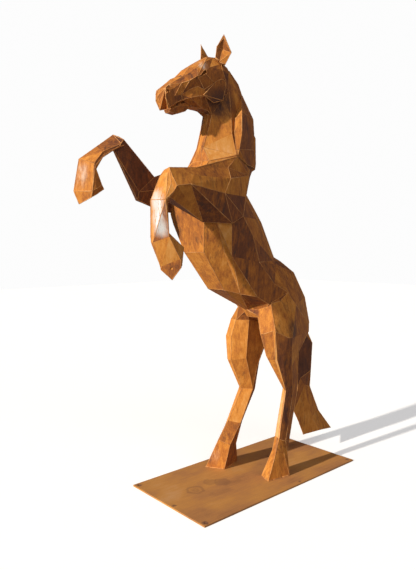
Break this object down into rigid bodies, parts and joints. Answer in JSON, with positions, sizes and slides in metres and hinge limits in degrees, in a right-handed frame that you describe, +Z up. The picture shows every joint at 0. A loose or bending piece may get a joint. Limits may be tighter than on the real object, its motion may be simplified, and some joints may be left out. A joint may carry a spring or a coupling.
{
  "type": "rearing horse sculpture on a base plate",
  "caption": "Life-size rearing horse in flat facets of rusted sheet steel, standing on its hind legs on a rectangular rusted base plate.",
  "frame": {"origin": "centre of the base plate's underside", "axes": "+X is where the horse faces, along the plate's length; +Y is the horse's left; +Z is up"},
  "size_m": [2.2037, 0.75, 2.9803],
  "materials": {
    "rusted_steel": "weathered rust, matt, in plates of different tone with dark streaks and a few rubbed bare patches",
    "rusted_plate": "even matt rust with darker stains"
  },
  "bodies": {
    "root": {"horse": "rusted_steel", "base_plate": "rusted_plate"}
  },
  "joints": []
}
